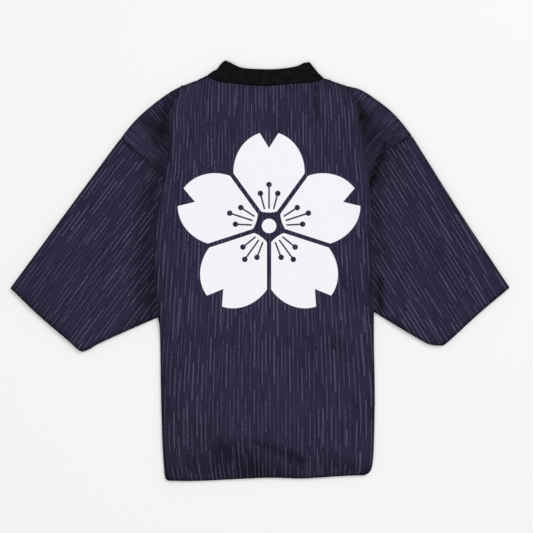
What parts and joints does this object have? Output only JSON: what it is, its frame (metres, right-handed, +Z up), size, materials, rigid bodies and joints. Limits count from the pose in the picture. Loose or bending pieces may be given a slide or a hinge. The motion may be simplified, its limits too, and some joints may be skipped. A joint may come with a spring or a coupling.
{
  "type": "happi coat",
  "caption": "Short wide-sleeved happi coat of navy slub cotton with a black collar band, laid flat with its back up.",
  "frame": {"origin": "centre of the coat's outline on the surface that it lies on", "axes": "+Z up out of the surface, +Y towards the collar, +X towards the wearer's right sleeve as seen with the back up"},
  "size_m": [1.0398, 0.8762, 0.0146],
  "materials": {
    "navy_cotton": "matt slub cotton, dark navy with pale broken streaks along the cloth",
    "black_cotton": "matt plain black cotton"
  },
  "bodies": {
    "root": {"back_panel": "navy_cotton", "left_front": "navy_cotton", "right_front": "navy_cotton", "left_sleeve": "navy_cotton", "right_sleeve": "navy_cotton", "collar": "black_cotton"}
  },
  "joints": []
}
